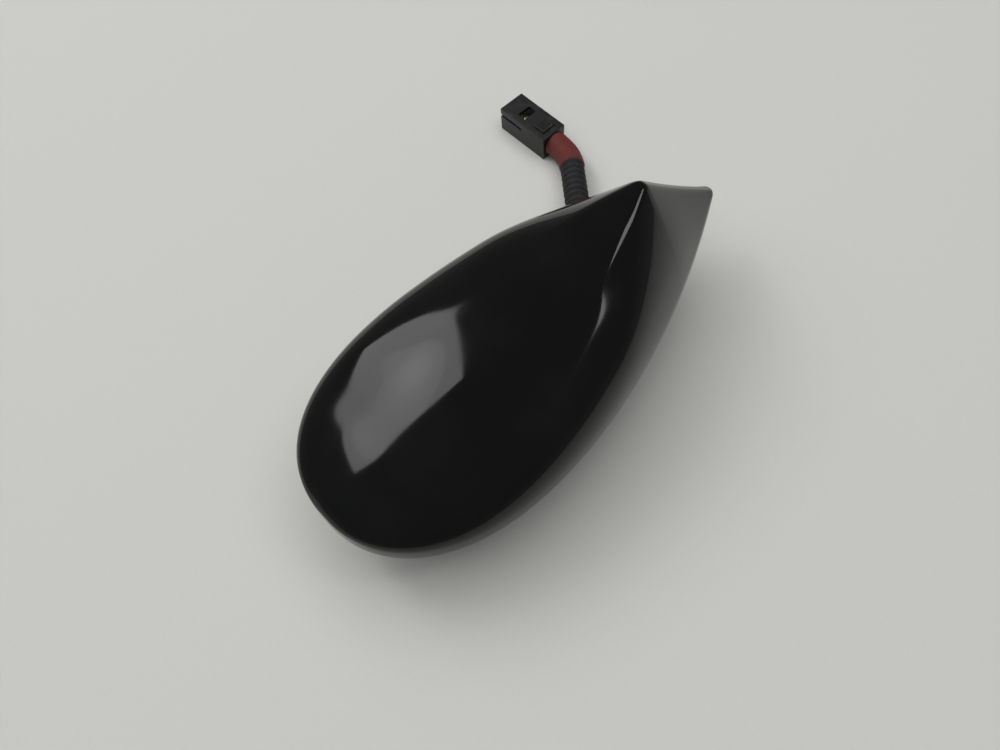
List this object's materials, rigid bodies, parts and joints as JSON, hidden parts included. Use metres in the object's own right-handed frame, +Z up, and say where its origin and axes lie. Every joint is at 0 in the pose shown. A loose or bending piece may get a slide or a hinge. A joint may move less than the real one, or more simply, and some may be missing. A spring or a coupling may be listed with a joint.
{
  "type": "shark fin aerial",
  "caption": "Glossy black shark fin roof aerial for a car, with a clamp that grips under the roof skin and a short conduit pigtail that ends in a coaxial connector.",
  "frame": {"origin": "middle of the roof hole, at the roof skin under the gasket", "axes": "+X to the fin's nose, the front of the car; +Z up and out of the roof; +Y to the car's left"},
  "size_m": [0.1299, 0.1018, 0.0516],
  "materials": {
    "cover_gloss_black": "high gloss moulded black",
    "gasket_rubber": "soft matt black rubber",
    "base_casting": "die-cast, fine matt",
    "board_green": "solder mask, satin",
    "tinned_sheet": "tinned sheet, satin",
    "ceramic": "fired ceramic, matt",
    "electrode_silver": "silver plating, satin",
    "brass": "plain brass",
    "holder_black": "moulded black, matt",
    "zinc_steel": "zinc plated steel",
    "conduit_black": "ribbed black conduit, matt",
    "sleeve_red": "brick-red rubber sleeve",
    "lead_black": "cable jacket",
    "connector_black": "moulded black, satin",
    "insulator_white": "white insulator"
  },
  "bodies": {
    "root": {"fin_cover": "cover_gloss_black", "rim_gasket": "gasket_rubber", "hole_seal": "gasket_rubber", "base_plate": "base_casting", "cover_screws": "zinc_steel", "clamp_claw": "zinc_steel", "mounting_bolt": "zinc_steel", "circuit_board": "board_green", "board_screws": "zinc_steel", "shield_can": "tinned_sheet", "satellite_patch": "ceramic", "satellite_electrode": "electrode_silver", "navigation_patch": "ceramic", "navigation_electrode": "electrode_silver", "feed_pins": "brass", "fin_radiator": "tinned_sheet", "radiator_holder": "holder_black", "feed_spring": "brass", "conduit_collar": "gasket_rubber", "coax_leads": "lead_black", "conduit": "conduit_black", "red_sleeve": "sleeve_red", "connector_shell": "connector_black", "connector_lock": "connector_black", "ferrule": "brass", "contact_insulator": "insulator_white", "contact_pin": "brass"}
  },
  "joints": []
}
